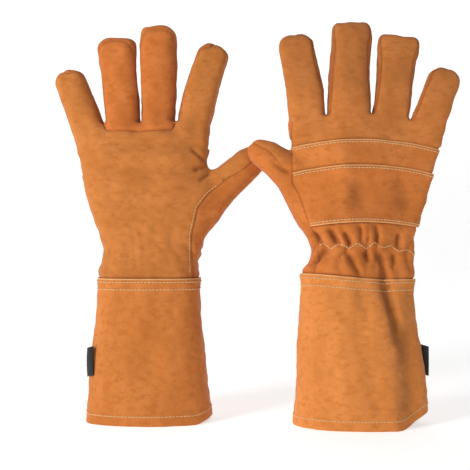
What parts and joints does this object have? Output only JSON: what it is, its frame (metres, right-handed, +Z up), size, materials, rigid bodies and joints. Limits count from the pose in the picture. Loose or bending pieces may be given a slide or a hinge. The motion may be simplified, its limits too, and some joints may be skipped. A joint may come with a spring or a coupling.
{
  "type": "welding gloves",
  "caption": "Pair of long-cuffed suede welding gauntlets, one shown from the palm and one from the back, with lapped knuckle panels, gathered wrists and flared cuffs.",
  "frame": {"origin": "middle of the pair on the surface that the hems stand on", "axes": "+Z up to the fingertips, +X from the palm-side glove to the back-side glove, -Y towards the viewer"},
  "size_m": [0.3937, 0.0934, 0.3887],
  "materials": {
    "suede": "napped split leather, orange-tan",
    "cuff_suede": "napped split leather, orange-tan, a little lighter",
    "fleece_lining": "brushed cotton fleece",
    "cuff_lining": "plain cotton canvas",
    "elastic": "woven rubber elastic",
    "tag": "satin ribbon"
  },
  "bodies": {
    "glove_a_cuff": {"glove_a_cuff_front": "cuff_suede", "glove_a_cuff_back": "cuff_suede", "glove_a_cuff_lining": "cuff_lining", "glove_a_label": "tag"},
    "glove_a_hand": {"glove_a_palm": "suede", "glove_a_thumb_base": "suede", "glove_a_wrist_back": "suede", "glove_a_back_panel": "suede", "glove_a_knuckle_band": "suede", "glove_a_hand_back": "suede", "glove_a_hand_lining": "fleece_lining", "glove_a_wrist_elastic": "elastic"},
    "glove_a_little": {"glove_a_little_front": "suede", "glove_a_little_back": "suede", "glove_a_little_gusset": "suede", "glove_a_little_lining": "fleece_lining"},
    "glove_a_ring": {"glove_a_ring_front": "suede", "glove_a_ring_back": "suede", "glove_a_ring_gusset": "suede", "glove_a_ring_lining": "fleece_lining"},
    "glove_a_middle": {"glove_a_middle_front": "suede", "glove_a_middle_back": "suede", "glove_a_middle_gusset": "suede", "glove_a_middle_lining": "fleece_lining"},
    "glove_a_index": {"glove_a_index_front": "suede", "glove_a_index_back": "suede", "glove_a_index_gusset": "suede", "glove_a_index_lining": "fleece_lining"},
    "glove_a_thumb": {"glove_a_thumb_front": "suede", "glove_a_thumb_back": "suede"},
    "glove_b_cuff": {"glove_b_cuff_front": "cuff_suede", "glove_b_cuff_back": "cuff_suede", "glove_b_cuff_lining": "cuff_lining", "glove_b_label": "tag"},
    "glove_b_hand": {"glove_b_palm": "suede", "glove_b_thumb_base": "suede", "glove_b_wrist_back": "suede", "glove_b_back_panel": "suede", "glove_b_knuckle_band": "suede", "glove_b_hand_back": "suede", "glove_b_hand_lining": "fleece_lining", "glove_b_wrist_elastic": "elastic"},
    "glove_b_little": {"glove_b_little_front": "suede", "glove_b_little_back": "suede", "glove_b_little_gusset": "suede", "glove_b_little_lining": "fleece_lining"},
    "glove_b_ring": {"glove_b_ring_front": "suede", "glove_b_ring_back": "suede", "glove_b_ring_gusset": "suede", "glove_b_ring_lining": "fleece_lining"},
    "glove_b_middle": {"glove_b_middle_front": "suede", "glove_b_middle_back": "suede", "glove_b_middle_gusset": "suede", "glove_b_middle_lining": "fleece_lining"},
    "glove_b_index": {"glove_b_index_front": "suede", "glove_b_index_back": "suede", "glove_b_index_gusset": "suede", "glove_b_index_lining": "fleece_lining"},
    "glove_b_thumb": {"glove_b_thumb_front": "suede", "glove_b_thumb_back": "suede"}
  },
  "joints": [
    {"name": "glove_a_wrist", "type": "hinge", "parent": "glove_a_cuff", "child": "glove_a_hand", "pos_m": [-0.1072, 0.037, 0.139], "axis": [-1, 0, 0], "range_deg": [0, 40]},
    {"name": "glove_a_little_bend", "type": "hinge", "parent": "glove_a_hand", "child": "glove_a_little", "pos_m": [-0.16645, -0.0045, 0.28175], "axis": [0.8917, 0, 0.4527], "range_deg": [0, 70]},
    {"name": "glove_a_ring_bend", "type": "hinge", "parent": "glove_a_hand", "child": "glove_a_ring", "pos_m": [-0.13295, -0.0045, 0.2895], "axis": [0.9996, 0, -0.029], "range_deg": [0, 70]},
    {"name": "glove_a_middle_bend", "type": "hinge", "parent": "glove_a_hand", "child": "glove_a_middle", "pos_m": [-0.0985, -0.0045, 0.29], "axis": [0.9983, 0, 0.058], "range_deg": [0, 70]},
    {"name": "glove_a_index_bend", "type": "hinge", "parent": "glove_a_hand", "child": "glove_a_index", "pos_m": [-0.06475, -0.0045, 0.2885], "axis": [0.9888, 0, -0.1494], "range_deg": [0, 70]},
    {"name": "glove_a_thumb_swing", "type": "hinge", "parent": "glove_a_hand", "child": "glove_a_thumb", "pos_m": [-0.04298, 0.011, 0.24608], "axis": [0, -1, 0], "range_deg": [0, 30]},
    {"name": "glove_b_wrist", "type": "hinge", "parent": "glove_b_cuff", "child": "glove_b_hand", "pos_m": [0.098, -0.037, 0.139], "axis": [1, 0, 0], "range_deg": [0, 40]},
    {"name": "glove_b_little_bend", "type": "hinge", "parent": "glove_b_hand", "child": "glove_b_little", "pos_m": [0.16225, 0.0045, 0.28475], "axis": [-0.9581, 0, 0.2866], "range_deg": [0, 70]},
    {"name": "glove_b_ring_bend", "type": "hinge", "parent": "glove_b_hand", "child": "glove_b_ring", "pos_m": [0.1266, 0.0045, 0.292], "axis": [-0.994, 0, 0.1098], "range_deg": [0, 70]},
    {"name": "glove_b_middle_bend", "type": "hinge", "parent": "glove_b_hand", "child": "glove_b_middle", "pos_m": [0.0865, 0.0045, 0.2935], "axis": [-0.9997, 0, -0.0227], "range_deg": [0, 70]},
    {"name": "glove_b_index_bend", "type": "hinge", "parent": "glove_b_hand", "child": "glove_b_index", "pos_m": [0.04695, 0.0045, 0.29065], "axis": [-0.9912, 0, -0.1327], "range_deg": [0, 70]},
    {"name": "glove_b_thumb_swing", "type": "hinge", "parent": "glove_b_hand", "child": "glove_b_thumb", "pos_m": [0.0316, -0.011, 0.25929], "axis": [0, 1, 0], "range_deg": [0, 30]},
    {"name": "glove_b_place", "type": "slide", "parent": "glove_a_cuff", "child": "glove_b_cuff", "axis": [1, 0, 0], "range_m": [0, 0.15]}
  ]
}
